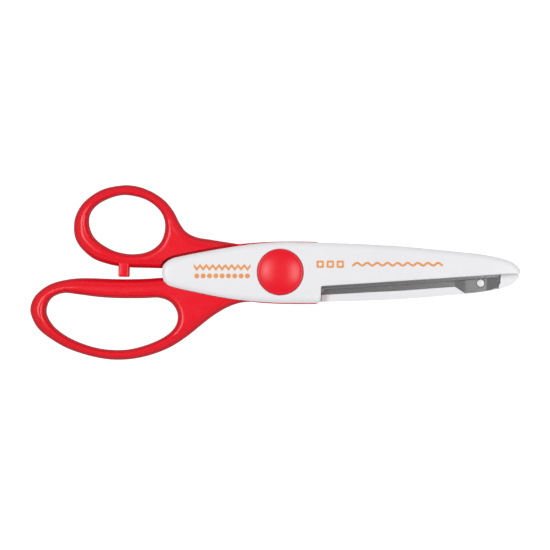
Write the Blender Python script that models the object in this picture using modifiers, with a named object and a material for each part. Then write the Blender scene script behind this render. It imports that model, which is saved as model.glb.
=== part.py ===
"""Decorative edge scissors: two moulded handles, two blade covers, two wave-toothed blades and a pivot.

Frame: the pivot axis is Z through the origin, and the scissors lie on the plane z = 0 with their rear
cover and rear pivot cap. +X points to the tips, +Y to the thumb loop and +Z out of the front cover.
Every size below is in millimetres, and MM turns it into metres.

Each half is drawn in its own frame, where the blades meet at z = 0, its spine is on +Y, its loop on -Y
and its material at z > 0. The front half stands as drawn, at the height COVER_TOP. The rear half is the
same drawing turned over about the X axis, and turned about the pivot by REST_ANGLE, which is how far
open the scissors lie at rest.
"""

import math

import bmesh
import bpy
import numpy as np
from mathutils import Matrix

MM = 0.001

# Driving dimensions
REST_ANGLE = math.radians(0.8)

FACE_GAP = 0.15  # from the plane between the blades to each half
BLADE_THICKNESS = 1.2
TOOTH_HEIGHT = 0.55  # from the middle of the wave to a crest
TOOTH_PITCH = 3.38
TOOTH_SAMPLES = 6
BAND_WIDTH = 2.0  # width of the toothed band along the cutting edge
BAND_EDGE = 0.5  # width of the step behind the band
RECESS = 0.7  # how far the blade stands back behind the band
FLAT_RADIUS = 15.3  # the tang is flat inside this radius
RECESS_RADIUS = 15.9  # the recess has its full depth outside this radius
TEETH_RADIUS = 17.3  # the teeth have their full height outside this radius
BLADE_END_RADIUS = 73.3
CUT_START_X, CUT_START_Y, CUT_SLOPE = 14.0, -5.0, 0.0655
LIP = 0.85  # how far the cutting edge stands out past the line of the cover
COVER_SET_BACK = 0.25  # how far the cover stays behind that line

PLATE_TOP = 2.9
PLATE_START_X = -38.5
PLATE_END_X = 13.3
PLATE_SET_BACK = 0.1  # how far the handle plate stays inside the cover's outline
TANG_POCKET_END_X = 30.0
COVER_FLOOR = 3.0
COVER_TOP = 4.9
STEP_X = 13.6  # the cover steps from its wide heel to the cutting edge here
COVER_SPAN_X = 14.0  # the cover wraps round the blade from here to the tip
COVER_EDGE_RADIUS = 0.9
RIM_BOTTOM = 0.25
RIM_END_X = 58.8
TAB_START_X = 62.3
TAB_RISE = 0.15  # how far the tab stands out of the recess
TAB_END_RISE = 0.4  # and at the end of the blade
# (x, distance behind the spine of the cover) along the back of the steel
BLADE_BACK = [
    (15, 2.45), (30, 2.95), (45, 3.0), (RIM_END_X, 2.85), (TAB_START_X, 0.25), (71, 0.25), (72.4, 0.45),
    (BLADE_END_RADIUS, 1.1),
]
BLADE_POCKET_TOP = 2.15
TIP_POCKET_END = 74.1
FIT = 0.15  # gap between parts that sit in each other

LOOP_HALF_THICKNESS = 4.0
LOOP_EDGE_RADIUS = 1.35
CLOSING_GAP = 0.9  # room beside the other half, so that the scissors can close on the stop tab
STOP_TAB_HALF_THICKNESS = 3.0

BORE_RADIUS = 3.3
COUNTERBORE_RADIUS = 4.9
COUNTERBORE_FLOOR = 2.1
COVER_BORE_RADIUS = 5.5
CAP_RADIUS = 7.7
CAP_EDGE = 0.35
CAP_SEAT = 3.8
FRONT_CROWN = 6.3  # height of the domed front cap
SHANK_RADIUS = 2.4
TAB_HOLE_X, TAB_HOLE_Y, TAB_HOLE_RADIUS = 67.5, 2.8, 1.45
RIVET_PLACES = {"heel": (-9.8, 0.0), "root": (9.8, 0.8)}
# (radius, height) down the side of a rivet and of its hole through plate and tang
RIVET = [(0, 2.8), (1.95, 2.8), (1.3, 2.15), (1.3, 1.05), (2.15, 0.2), (0, 0.2)]
RIVET_HOLE = [(0, 3.3), (2.35, 3.3), (2.35, 2.95), (1.45, 2.15), (1.45, 1.1), (2.65, -0.1), (0, -0.1)]
FAR = 9.0  # a height that clears both halves

RED = (0.80, 0.012, 0.026)
WHITE = (0.84, 0.84, 0.86)
STEEL = (0.42, 0.42, 0.43)
BRIGHT_STEEL = (0.62, 0.62, 0.62)
NYLON = (0.80, 0.78, 0.70)


# Outlines: lists of (x, y) in millimetres


def smooth(points, closed=False, per_span=4):
    """A Catmull-Rom curve through the points."""
    if closed:
        padded = [points[-1], *points, points[0], points[1]]
    else:
        first = (2 * points[0][0] - points[1][0], 2 * points[0][1] - points[1][1])
        last = (2 * points[-1][0] - points[-2][0], 2 * points[-1][1] - points[-2][1])
        padded = [first, *points, last]
    found = []
    for a, b, c, d in zip(padded, padded[1:], padded[2:], padded[3:]):
        for step in range(per_span):
            t = step / per_span
            found.append(tuple(catmull(a[k], b[k], c[k], d[k], t) for k in (0, 1)))
    return found if closed else found + [points[-1]]


def catmull(a, b, c, d, t):
    return 0.5 * (2 * b + (c - a) * t + (2 * a - 5 * b + 4 * c - d) * t**2 + (3 * b - a - 3 * c + d) * t**3)


def fillet(before, corner, after, radius, steps=5):
    """The arc that rounds a corner between two straight edges."""
    corner = np.array(corner, float)
    to_before = np.array(before, float) - corner
    to_after = np.array(after, float) - corner
    to_before /= np.linalg.norm(to_before)
    to_after /= np.linalg.norm(to_after)
    half = math.acos(np.clip(to_before @ to_after, -1, 1)) / 2
    middle = (to_before + to_after) / np.linalg.norm(to_before + to_after)
    centre = corner + middle * radius / math.sin(half)
    start = corner + to_before * radius / math.tan(half) - centre
    end = corner + to_after * radius / math.tan(half) - centre
    turn = math.atan2(start[0] * end[1] - start[1] * end[0], start @ end)
    found = []
    for step in range(steps + 1):
        angle = turn * step / steps
        x = start[0] * math.cos(angle) - start[1] * math.sin(angle)
        y = start[0] * math.sin(angle) + start[1] * math.cos(angle)
        found.append((centre[0] + x, centre[1] + y))
    return found


def grow(points, distance):
    """The closed outline moved outwards by a distance, for an outline that runs anticlockwise."""
    ring = np.array(points, float)
    ahead = np.roll(ring, -1, 0) - np.roll(ring, 1, 0)
    length = np.maximum(np.linalg.norm(ahead, axis=1, keepdims=True), 1e-9)
    out = np.stack([ahead[:, 1], -ahead[:, 0]], 1) / length
    return [tuple(p) for p in ring + out * distance]


def other_half(points):
    """An outline of the other half, as it lies in this half's frame at rest, running anticlockwise."""
    c, s = math.cos(REST_ANGLE), math.sin(REST_ANGLE)
    return [(x * c - y * s, -y * c - x * s) for x, y in reversed(points)]


def circle(x, y, radius, steps=32):
    turns = [2 * math.pi * k / steps for k in range(steps)]
    return [(x + radius * math.cos(t), y + radius * math.sin(t)) for t in turns]


def box_outline(x0, y0, x1, y1):
    return [(x0, y0), (x1, y0), (x1, y1), (x0, y1)]


def cut_line(x, below=0.0):
    """Height of the line along which the blades meet when the scissors are closed."""
    return CUT_START_Y + CUT_SLOPE * (x - CUT_START_X) - below


SPINE = smooth(
    [
        (80.05, 1.0), (79.0, 2.2), (77.15, 3.5), (73.0, 4.8), (67.0, 5.95), (59.0, 6.8), (50.0, 7.7),
        (40.0, 8.6), (30.0, 9.2), (20.0, 9.6), (10.0, 9.9), (0.0, 10.0), (-8.0, 9.45), (-16.0, 8.4),
        (-24.0, 7.05), (-32.0, 5.5), (-36.5, 4.35), (-38.8, 2.6), (-39.5, 0.7), (-39.5, -1.3),
    ]
)
HEEL = smooth(
    [
        (-39.0, -2.9), (-37.2, -4.5), (-33.5, -5.6), (-27.5, -6.9), (-20.0, -8.4), (-12.0, -9.5),
        (-3.0, -10.2), (5.0, -10.4), (12.0, -10.4),
    ]
)


def cover_outline():
    cut_end = (75.5, cut_line(75.5, -COVER_SET_BACK))
    step_top = (STEP_X, cut_line(STEP_X, -COVER_SET_BACK))
    step_foot = (STEP_X, -10.4)
    tip = smooth([cut_end, (79.3, -0.68), (80.15, -0.4), (80.3, 0.3)])
    bottom = fillet(HEEL[-1], step_foot, step_top, 1.5)
    inner = fillet(step_foot, step_top, cut_end, 0.4, 3)
    return HEEL[:-1] + bottom + inner + tip + SPINE


def spine_y(x):
    xs, ys = zip(*[p for p in reversed(SPINE) if p[1] > 0.95])
    return float(np.interp(x, xs, ys))


def blade_spine_y(x):
    """Upper edge of the steel: behind the rim of the cover, then out to the cover's edge at the tab."""
    return spine_y(x) - float(np.interp(x, *zip(*BLADE_BACK)))


def blade_rows(step=1):
    """Rows across the blade from the heel to the tip, each as its ends on the cutting and spine sides."""
    rows = []
    heel_x, heel_radius = -7.4, 6.2
    for degrees in (72, 54, 36, 18, 0):
        turn = math.radians(degrees)
        x = heel_x - heel_radius * math.sin(turn)
        half = heel_radius * math.cos(turn)
        rows.append(((x, -half), (x, half)))
    rows.append(((3.0, -6.2), (3.0, 6.6)))
    rows.append(((10.0, -6.0), (10.0, 7.0)))
    radius = FLAT_RADIUS - 1.0
    count = round((BLADE_END_RADIUS - radius) / (TOOTH_PITCH / TOOTH_SAMPLES))
    for k in range(0, count + 1, step):
        r = radius + (BLADE_END_RADIUS - radius) * k / count
        rows.append((on_cutting_edge(r), on_blade_spine(r)))
    return rows


def on_cutting_edge(r):
    c = cut_line(0.0, LIP)
    m = CUT_SLOPE
    x = (-m * c + math.sqrt(r * r * (1 + m * m) - c * c)) / (1 + m * m)
    return (x, m * x + c)


def on_blade_spine(r):
    x = r
    for _ in range(12):
        x = math.sqrt(r * r - blade_spine_y(x) ** 2)
    return (x, blade_spine_y(x))


def blade_outline(step=8):
    rows = blade_rows(step)
    return [low for low, _ in rows] + [high for _, high in reversed(rows)]


# Scene helpers


def clear_scene():
    for obj in list(bpy.data.objects):
        bpy.data.objects.remove(obj, do_unlink=True)


def collection(name):
    made = bpy.data.collections.new(name)
    bpy.context.scene.collection.children.link(made)
    return made


def material(name, colour, roughness, metallic=0.0):
    made = bpy.data.materials.new(name)
    made.use_nodes = True
    shader = made.node_tree.nodes["Principled BSDF"]
    shader.inputs["Base Color"].default_value = (*colour, 1.0)
    shader.inputs["Roughness"].default_value = roughness
    shader.inputs["Metallic"].default_value = metallic
    made.diffuse_color = (*colour, 1.0)
    return made


def axis_empty(name, matrix):
    empty = bpy.data.objects.new(name, None)
    PARTS.objects.link(empty)
    empty.matrix_world = matrix
    return empty


def add(name, mesh, half, finish=None):
    """A mesh as a part of one half, or as a cutter if it has no finish."""
    obj = bpy.data.objects.new(name, mesh)
    (PARTS if finish else CUTTERS).objects.link(obj)
    obj.parent = half
    if finish:
        mesh.materials.clear()
        mesh.materials.append(finish)
        mesh.set_sharp_from_angle(angle=math.radians(35))
    else:
        obj.hide_render = True
        obj.display_type = "WIRE"
    return obj


def plate_mesh(name, loops, bottom, top, edge=0.0):
    """A flat plate between two heights, from its outline and any holes, with rounded edges."""
    curve = bpy.data.curves.new(name, "CURVE")
    curve.dimensions = "2D"
    curve.fill_mode = "BOTH"
    curve.extrude = ((top - bottom) / 2 - edge) * MM
    curve.bevel_depth = edge * MM
    curve.offset = -edge * MM
    curve.bevel_resolution = 1
    for loop in loops:
        spline = curve.splines.new("POLY")
        spline.points.add(len(loop) - 1)
        for point, (x, y) in zip(spline.points, loop):
            point.co = (x * MM, y * MM, 0.0, 1.0)
        spline.use_cyclic_u = True
    obj = bpy.data.objects.new(name, curve)
    bpy.context.scene.collection.objects.link(obj)
    graph = bpy.context.evaluated_depsgraph_get()
    mesh = bpy.data.meshes.new_from_object(obj.evaluated_get(graph))
    bpy.data.objects.remove(obj)
    bpy.data.curves.remove(curve)
    work = bmesh.new()
    work.from_mesh(mesh)
    bmesh.ops.remove_doubles(work, verts=work.verts, dist=1e-6)
    bmesh.ops.dissolve_limit(work, angle_limit=0.001, verts=work.verts, edges=work.edges)
    bmesh.ops.translate(work, verts=work.verts, vec=(0, 0, (top + bottom) / 2 * MM))
    bmesh.ops.recalc_face_normals(work, faces=work.faces)
    work.to_mesh(mesh)
    work.free()
    return mesh


def turned_mesh(name, profile, steps=40, place=(0.0, 0.0)):
    """A turned shape about a vertical axis, from (radius, height) points listed top to bottom."""
    mesh = bpy.data.meshes.new(name)
    verts = [(r * MM, 0.0, z * MM) for r, z in profile]
    mesh.from_pydata(verts, [(k, k + 1) for k in range(len(verts) - 1)], [])
    obj = bpy.data.objects.new(name, mesh)
    bpy.context.scene.collection.objects.link(obj)
    screw = obj.modifiers.new("turn", "SCREW")
    screw.steps = screw.render_steps = steps
    screw.use_merge_vertices = True
    screw.merge_threshold = 1e-6
    graph = bpy.context.evaluated_depsgraph_get()
    made = bpy.data.meshes.new_from_object(obj.evaluated_get(graph))
    bpy.data.objects.remove(obj)
    bpy.data.meshes.remove(mesh)
    work = bmesh.new()
    work.from_mesh(made)
    bmesh.ops.remove_doubles(work, verts=work.verts, dist=1e-6)
    bmesh.ops.translate(work, verts=work.verts, vec=(place[0] * MM, place[1] * MM, 0))
    work.to_mesh(made)
    work.free()
    return made


def ring_profile(inner, outer, bottom, top, edge=0.0):
    """Profile of a washer or sleeve, as a closed loop from its inner top corner round the outside."""
    outside = [(outer - edge, top), (outer, top - edge), (outer, bottom + edge), (outer - edge, bottom)]
    return [(inner, top), *outside, (inner, bottom), (inner, top)]


def boolean(obj, cutter, operation="DIFFERENCE"):
    modifier = obj.modifiers.new(cutter.name, "BOOLEAN")
    modifier.operation = operation
    modifier.object = cutter


# Parts of one half


def bore_cutter(half):
    prefix = half.name.split("_")[0]
    bore = [(0, FAR), (COUNTERBORE_RADIUS, FAR), (COUNTERBORE_RADIUS, COUNTERBORE_FLOOR)]
    bore += [(BORE_RADIUS, COUNTERBORE_FLOOR), (BORE_RADIUS, -FAR), (0, -FAR)]
    return add(f"{prefix}_bore_cutter", turned_mesh("bore", bore), half)


def rivet_cutters(half):
    prefix = half.name.split("_")[0]
    return [
        add(f"{prefix}_rivet_cutter_{name}", turned_mesh("rivet hole", RIVET_HOLE, 20, place), half)
        for name, place in RIVET_PLACES.items()
    ]


def make_handle(half, name, outline, hole, plate_drop, stop_tab=None):
    """A loop and its arm, with the flat plate that runs between the blade and the cover to the pivot."""
    arm = plate_mesh(name, [outline, hole], -LOOP_HALF_THICKNESS, LOOP_HALF_THICKNESS, LOOP_EDGE_RADIUS)
    handle = add(name, arm, half, MATERIALS["red"])
    cover = cover_outline()
    inner_line = grow(cover, -PLATE_SET_BACK)
    upper = [p for p in inner_line[len(cover) - len(SPINE):] if p[0] < PLATE_END_X - 1]
    drop = plate_drop + PLATE_SET_BACK
    bolster = [p for p in HEEL if PLATE_START_X < p[0] < PLATE_END_X - 1.9]
    lower = [(x, y + PLATE_SET_BACK - drop * blend(x, -16, -6)) for x, y in bolster]
    foot = (PLATE_END_X, lower[-1][1])
    top = (PLATE_END_X, spine_y(PLATE_END_X) - PLATE_SET_BACK)
    ring = lower + fillet(lower[-1], foot, top, 1.6) + [top] + upper
    plate = plate_mesh("plate", [ring], FACE_GAP, PLATE_TOP)
    boolean(handle, add(f"{name}_plate", plate, half), "UNION")
    if stop_tab:
        tab = plate_mesh("stop tab", [stop_tab], -STOP_TAB_HALF_THICKNESS, STOP_TAB_HALF_THICKNESS)
        boolean(handle, add(f"{name}_stop_tab", tab, half), "UNION")
    over = plate_mesh("under cover", [grow(cover, FIT)], PLATE_TOP + 0.05, FAR)
    boolean(handle, add(f"{name}_cover_cutter", over, half))
    under = plate_mesh("other half", [grow(other_half(cover), CLOSING_GAP)], -FAR, FACE_GAP - 0.03)
    boolean(handle, add(f"{name}_other_half_cutter", under, half))
    tang = [(x, y) for x, y in blade_outline() if x < TANG_POCKET_END_X]
    pocket = plate_mesh("tang pocket", [grow(tang, FIT)], -1, FACE_GAP + BLADE_THICKNESS + 0.1)
    boolean(handle, add(f"{name}_tang_cutter", pocket, half))
    return handle


def make_cover(half, name):
    """The blade cover: a flat shell over the handle plate, with a rim round the spine of the blade."""
    mesh = plate_mesh(name, [cover_outline()], RIM_BOTTOM, COVER_TOP)
    cover = add(name, mesh, half, MATERIALS["white"])
    round_top_edges(cover)
    heel = plate_mesh("heel", [box_outline(-60, -20, COVER_SPAN_X, 20)], -1, COVER_FLOOR)
    boolean(cover, add(f"{name}_heel_cutter", heel, half))
    boolean(cover, add(f"{name}_blade_cutter", blade_pocket_mesh(), half))
    bore = [(0, FAR), (CAP_RADIUS + FIT, FAR), (CAP_RADIUS + FIT, CAP_SEAT)]
    bore += [(COVER_BORE_RADIUS, CAP_SEAT), (COVER_BORE_RADIUS, -FAR), (0, -FAR)]
    boolean(cover, add(f"{name}_bore_cutter", turned_mesh("cap seat", bore), half))
    post_radius = TAB_HOLE_RADIUS - FIT
    place = (TAB_HOLE_X, TAB_HOLE_Y)
    post = [(0, BLADE_POCKET_TOP + 1), (post_radius, BLADE_POCKET_TOP + 1), (post_radius, 1.1)]
    post += [(post_radius - 0.2, 0.9), (0, 0.9)]
    boolean(cover, add(f"{name}_post", turned_mesh("post", post, 20, place), half), "UNION")
    return cover


def round_top_edges(cover):
    """Bevels the outer edges of the top face only."""
    weights = cover.data.attributes.new("bevel_weight_edge", "FLOAT", "EDGE")
    verts = cover.data.vertices
    top = (COVER_TOP - 0.01) * MM
    work = bmesh.new()
    work.from_mesh(cover.data)
    for edge in work.edges:
        high = all(verts[v.index].co.z > top for v in edge.verts)
        if high and edge.calc_face_angle(0) > 0.5:
            weights.data[edge.index].value = 1.0
    work.free()
    bevel = cover.modifiers.new("rounded edge", "BEVEL")
    bevel.limit_method = "WEIGHT"
    bevel.width = COVER_EDGE_RADIUS * MM
    bevel.segments = 2


def blade_pocket_mesh():
    """Room for the steel under the cover, open along the cutting edge and round the tab."""
    stations = [COVER_SPAN_X - 0.5, 20, 30, 40, 50, 57, RIM_END_X, TAB_START_X]
    rim = [(x, blade_spine_y(x) + FIT) for x in stations]
    open_tab = [(TAB_START_X, 12), (TIP_POCKET_END - 0.5, 12), (TIP_POCKET_END - 0.5, spine_y(75) - 0.8)]
    end = [(TIP_POCKET_END, spine_y(75) - 1.6), (TIP_POCKET_END, cut_line(75) + 0.9)]
    mouth = [(BLADE_END_RADIUS + FIT, cut_line(73) + 0.9), (BLADE_END_RADIUS + FIT, -12)]
    ring = rim + open_tab + end + mouth + [(COVER_SPAN_X - 0.5, -12)]
    return plate_mesh("blade pocket", [ring[::-1]], -1, BLADE_POCKET_TOP)


def blend(value, start, end):
    t = min(max((value - start) / (end - start), 0.0), 1.0)
    return t * t * (3 - 2 * t)


def face_and_tooth(x, r, from_edge, wave_sign):
    """Height of the blade's inner face between the teeth, and of the tooth above that."""
    band = 1 - blend(from_edge, BAND_WIDTH, BAND_WIDTH + BAND_EDGE)
    stations = [RIM_END_X, TAB_START_X, TAB_HOLE_X + 2, BLADE_END_RADIUS]
    rise = float(np.interp(x, stations, [0, TAB_RISE, TAB_RISE, TAB_END_RISE]))
    set_back = blend(r, FLAT_RADIUS, RECESS_RADIUS) * (1 - band) * (RECESS - rise)
    wave = math.sin(2 * math.pi * (r - TEETH_RADIUS) / TOOTH_PITCH)
    tooth = blend(r, FLAT_RADIUS, TEETH_RADIUS) * band * wave_sign * TOOTH_HEIGHT * wave
    return FACE_GAP + set_back, tooth


def make_blade(half, name, wave_sign):
    """A stamped blade with a plain outer face, and teeth on the inner face along its cutting edge."""
    rows = blade_rows()
    columns = (0.0, BAND_WIDTH, BAND_WIDTH + BAND_EDGE, None)
    work = bmesh.new()
    bmesh.ops.create_grid(work, x_segments=len(columns) - 1, y_segments=len(rows) - 1, size=1.0)
    teeth = work.verts.layers.float.new("tooth")
    for vert in work.verts:
        column = columns[round((vert.co.x + 1) / 2 * (len(columns) - 1))]
        low, high = rows[round((vert.co.y + 1) / 2 * (len(rows) - 1))]
        x, y, face, tooth = blade_point(low, high, column, wave_sign)
        vert.co = (x * MM, y * MM, (face + tooth) * MM)
        vert[teeth] = tooth
    grown = bmesh.ops.extrude_face_region(work, geom=list(work.faces))
    for vert in grown["geom"]:
        if isinstance(vert, bmesh.types.BMVert):
            vert.co.z += (BLADE_THICKNESS - vert[teeth]) * MM
    bmesh.ops.recalc_face_normals(work, faces=work.faces)
    mesh = bpy.data.meshes.new(name)
    work.to_mesh(mesh)
    work.free()
    blade = add(name, mesh, half, MATERIALS["steel"])
    hole = circle(TAB_HOLE_X, TAB_HOLE_Y, TAB_HOLE_RADIUS, 24)
    boolean(blade, add(f"{name}_tab_hole_cutter", plate_mesh("tab hole", [hole], -2, 5), half))
    return blade


def blade_point(low, high, from_edge, wave_sign):
    """Place of a point on the row between two ends, at a distance from the cutting edge.

    Returns x, y, and the heights of the inner face and of the tooth on it."""
    width = math.dist(low, high)
    share = min(1.0, 0.45 * width / (BAND_WIDTH + BAND_EDGE))
    if low[0] < FLAT_RADIUS - 4:
        reach = 1.0 if from_edge is None else from_edge * share / width
        return (*(a + (b - a) * reach for a, b in zip(low, high)), FACE_GAP, 0.0)
    r = math.hypot(*low)
    start = math.atan2(low[1], low[0])
    end = math.atan2(high[1], high[0])
    angle = end if from_edge is None else start + from_edge / r
    arc = (angle - start) * r
    x, y = r * math.cos(angle), r * math.sin(angle)
    return (x, y, *face_and_tooth(x, r, arc, wave_sign))


def make_rivets(half, prefix):
    for place_name, place in RIVET_PLACES.items():
        mesh = turned_mesh("rivet", RIVET, 20, place)
        add(f"{prefix}_blade_rivet_{place_name}", mesh, half, MATERIALS["bright"])


def make_cap(half, name, crown):
    """The pivot cap: a domed or flat face, a rim that sits in the cover and a skirt in its bore."""
    shoulder = CAP_RADIUS - CAP_EDGE
    rise = crown - COVER_TOP
    rings = 7 if rise else 2
    shares = [k / (rings - 1) for k in range(rings)]
    face = [(shoulder * share, crown - rise * share**2.4) for share in shares]
    rim = [(CAP_RADIUS, COVER_TOP - CAP_EDGE), (CAP_RADIUS, CAP_SEAT + 0.1)]
    skirt = [(5.35, CAP_SEAT + 0.1), (5.35, 3.15), (4.95, 3.15), (4.95, 4.1), (0, 4.1)]
    add(name, turned_mesh(name, face + rim + skirt, 36), half, MATERIALS["red"])


def make_half(half, prefix, handle_name, outline, hole, plate_drop, wave_sign, crown, stop_tab=None):
    handle = make_handle(half, handle_name, outline, hole, plate_drop, stop_tab)
    make_cover(half, f"{prefix}_cover")
    blade = make_blade(half, f"{prefix}_blade", wave_sign)
    for cutter in [bore_cutter(half), *rivet_cutters(half)]:
        boolean(handle, cutter)
        boolean(blade, cutter)
    make_rivets(half, prefix)
    make_cap(half, f"{prefix}_pivot_cap", crown)


# The pivot


def make_pivot(half):
    """Shoulder screw from the front, and bushing, washers and nut round it."""
    head = [(0, 3.7), (3.0, 3.65), (4.1, 3.3), (4.5, 2.8), (4.5, 2.2), (SHANK_RADIUS, 2.2)]
    shank = [(SHANK_RADIUS, -3.7), (SHANK_RADIUS - 0.3, -4.0), (0, -4.0)]
    screw = add("pivot_screw", turned_mesh("screw", head + shank, 24), half, MATERIALS["bright"])
    slot = plate_mesh("slot", [box_outline(-5, -0.5, 5, 0.5)], 3.0, 5.0)
    boolean(screw, add("screw_slot_cutter", slot, half))
    sleeve = ring_profile(SHANK_RADIUS + 0.1, BORE_RADIUS - 0.1, -2.05, 2.05, 0.1)
    add("pivot_bushing", turned_mesh("bushing", sleeve, 24), half, MATERIALS["nylon"])
    spacer = ring_profile(BORE_RADIUS + 0.1, 5.9, -0.1, 0.1)
    add("blade_spacer", turned_mesh("spacer", spacer, 24), half, MATERIALS["nylon"])
    washer = ring_profile(SHANK_RADIUS + 0.15, 4.6, -2.5, -2.2)
    add("plain_washer", turned_mesh("washer", washer, 24), half, MATERIALS["bright"])
    dished = [(2.6, -2.75), (4.4, -2.55), (4.4, -2.75), (2.6, -2.95), (2.6, -2.75)]
    add("spring_washer", turned_mesh("spring washer", dished, 24), half, MATERIALS["bright"])
    make_nut(half)


def make_nut(half):
    across_flats = 7.2
    corners = circle(0, 0, across_flats / 2 / math.cos(math.pi / 6), 6)
    thread = circle(0, 0, SHANK_RADIUS + 0.1, 32)
    nut = plate_mesh("nut", [corners, thread], -3.9, -3.0)
    add("pivot_nut", nut, half, MATERIALS["bright"])


# Outlines of the two loops, each in the frame of its own half


def finger_outline():
    loop = [
        (-39.8, -1.9), (-44.0, -2.2), (-50.0, -2.4), (-56.0, -2.35), (-62.0, -2.1), (-68.0, -2.1),
        (-73.0, -2.8), (-77.0, -4.0), (-80.4, -6.1), (-82.9, -8.9), (-83.95, -12.6), (-83.0, -16.2),
        (-81.0, -19.3), (-77.3, -22.3), (-72.0, -25.4), (-65.7, -27.7), (-59.5, -29.1), (-54.5, -29.5),
        (-49.0, -29.1), (-43.0, -27.7), (-37.0, -25.3), (-31.5, -21.8), (-27.0, -18.2), (-22.5, -14.7),
        (-18.0, -12.0), (-14.0, -10.4), (-11.4, -9.7), (-10.2, -8.6), (-11.5, -7.0), (-19.0, -5.0),
        (-28.0, -3.0), (-35.0, -1.9),
    ]
    return smooth(loop, closed=True, per_span=3)


def finger_hole():
    hole = [
        (-73.0, -7.1), (-68.0, -7.5), (-61.0, -8.4), (-54.0, -8.8), (-46.0, -8.8), (-40.5, -8.7),
        (-36.6, -10.4), (-34.5, -14.0), (-35.1, -18.0), (-38.2, -21.3), (-43.6, -24.0), (-49.6, -25.75),
        (-54.5, -26.2), (-60.5, -25.7), (-66.5, -24.0), (-72.0, -21.4), (-76.3, -17.9), (-78.5, -13.5),
        (-77.1, -9.1),
    ]
    return smooth(hole, closed=True, per_span=3)[::-1]


def thumb_outline():
    loop = [
        (-39.8, -0.7), (-44.5, -0.75), (-49.5, -0.8), (-53.5, -1.1), (-57.6, -1.8), (-62.6, -3.5),
        (-66.5, -6.6), (-68.8, -10.0), (-69.5, -14.0), (-68.8, -18.3), (-66.0, -22.8), (-60.3, -26.8),
        (-53.4, -28.4), (-48.4, -28.1), (-44.0, -26.6), (-40.3, -24.4), (-37.8, -22.1), (-35.7, -19.2),
        (-34.0, -15.9), (-31.7, -13.0), (-28.2, -11.3), (-23.7, -10.6), (-18.3, -9.8), (-14.0, -9.1),
        (-11.6, -8.6), (-11.0, -7.8), (-13.5, -6.5), (-20.0, -4.5), (-28.0, -2.5), (-35.0, -0.9),
    ]
    return smooth(loop, closed=True, per_span=3)


def thumb_hole():
    hole = [
        (-52.4, -25.1), (-57.7, -23.9), (-62.0, -21.4), (-64.2, -18.1), (-64.2, -14.1), (-62.4, -10.5),
        (-58.9, -7.8), (-54.8, -6.0), (-49.7, -5.3), (-44.6, -6.2), (-40.8, -8.8), (-39.1, -12.5),
        (-39.1, -16.8), (-41.2, -20.6), (-45.8, -23.8),
    ]
    return smooth(hole, closed=True, per_span=3)


def stop_tab_outline():
    left, right, foot, top = -54.2, -50.7, -3.5, 2.38
    ends = [(left, top), (right, top)]
    far_corner = fillet((right, foot), ends[1], ends[0], 0.5, 3)
    near_corner = fillet(ends[1], ends[0], (left, foot), 0.5, 3)
    return [(left, foot), (right, foot)] + far_corner + near_corner


clear_scene()
PARTS = collection("decorative_edge_scissors")
CUTTERS = collection("cutters")
CUTTERS.hide_render = True
MATERIALS = {
    "red": material("red plastic", RED, 0.22),
    "white": material("white plastic", WHITE, 0.38),
    "steel": material("blade steel", STEEL, 0.35, 1.0),
    "bright": material("bright steel", BRIGHT_STEEL, 0.25, 1.0),
    "nylon": material("nylon", NYLON, 0.5),
}
meeting_plane = Matrix.Translation((0, 0, COVER_TOP * MM))
turned_over = Matrix.Rotation(-REST_ANGLE, 4, "Z") @ Matrix.Rotation(math.pi, 4, "X")
front = axis_empty("front_half_axis", meeting_plane)
rear = axis_empty("rear_half_axis", meeting_plane @ turned_over)
make_half(front, "front", "finger_handle", finger_outline(), finger_hole(), 0.35, 1, FRONT_CROWN)
make_half(
    rear, "rear", "thumb_handle", thumb_outline(), thumb_hole(), -0.1, -1, COVER_TOP, stop_tab_outline()
)
make_pivot(front)
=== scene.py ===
"""The finished look of the decorative edge scissors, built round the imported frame.

Each half is drawn in its own frame, in millimetres: the blades meet at z = 0, its spine is on +Y, its
loop on -Y, and its plate, cover and cap are at z > 0. The loop and the teeth reach across z = 0. The front
half stands as drawn, at the height of that plane. The rear half is turned over about the X axis, and
turned about the pivot by REST_ANGLE.
"""

import math

import bmesh
import bpy
import numpy as np
from mathutils import Matrix, Vector
from mathutils.geometry import delaunay_2d_cdt


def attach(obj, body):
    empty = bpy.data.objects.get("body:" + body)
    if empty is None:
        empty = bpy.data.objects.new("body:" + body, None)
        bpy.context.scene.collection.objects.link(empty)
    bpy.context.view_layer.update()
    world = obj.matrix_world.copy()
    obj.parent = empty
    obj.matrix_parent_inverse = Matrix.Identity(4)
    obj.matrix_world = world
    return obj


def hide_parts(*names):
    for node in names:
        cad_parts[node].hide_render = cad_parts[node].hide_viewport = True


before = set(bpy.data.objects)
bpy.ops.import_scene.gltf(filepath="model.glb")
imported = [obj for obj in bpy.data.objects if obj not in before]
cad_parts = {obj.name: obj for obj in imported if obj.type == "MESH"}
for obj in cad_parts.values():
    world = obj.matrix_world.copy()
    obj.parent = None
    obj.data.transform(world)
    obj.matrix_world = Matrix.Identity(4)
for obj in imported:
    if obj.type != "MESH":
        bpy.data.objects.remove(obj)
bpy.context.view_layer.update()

MM = 0.001


# Sizes in millimetres
MEETING_PLANE = 4.9  # height above the floor of the plane where the blades meet
REST_ANGLE = math.radians(0.8)
COVER_TOP = 4.9
LOOP_HALF_THICKNESS = 4.0
CAP_TOP = 6.3
CAP_RADIUS = 7.7

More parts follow.
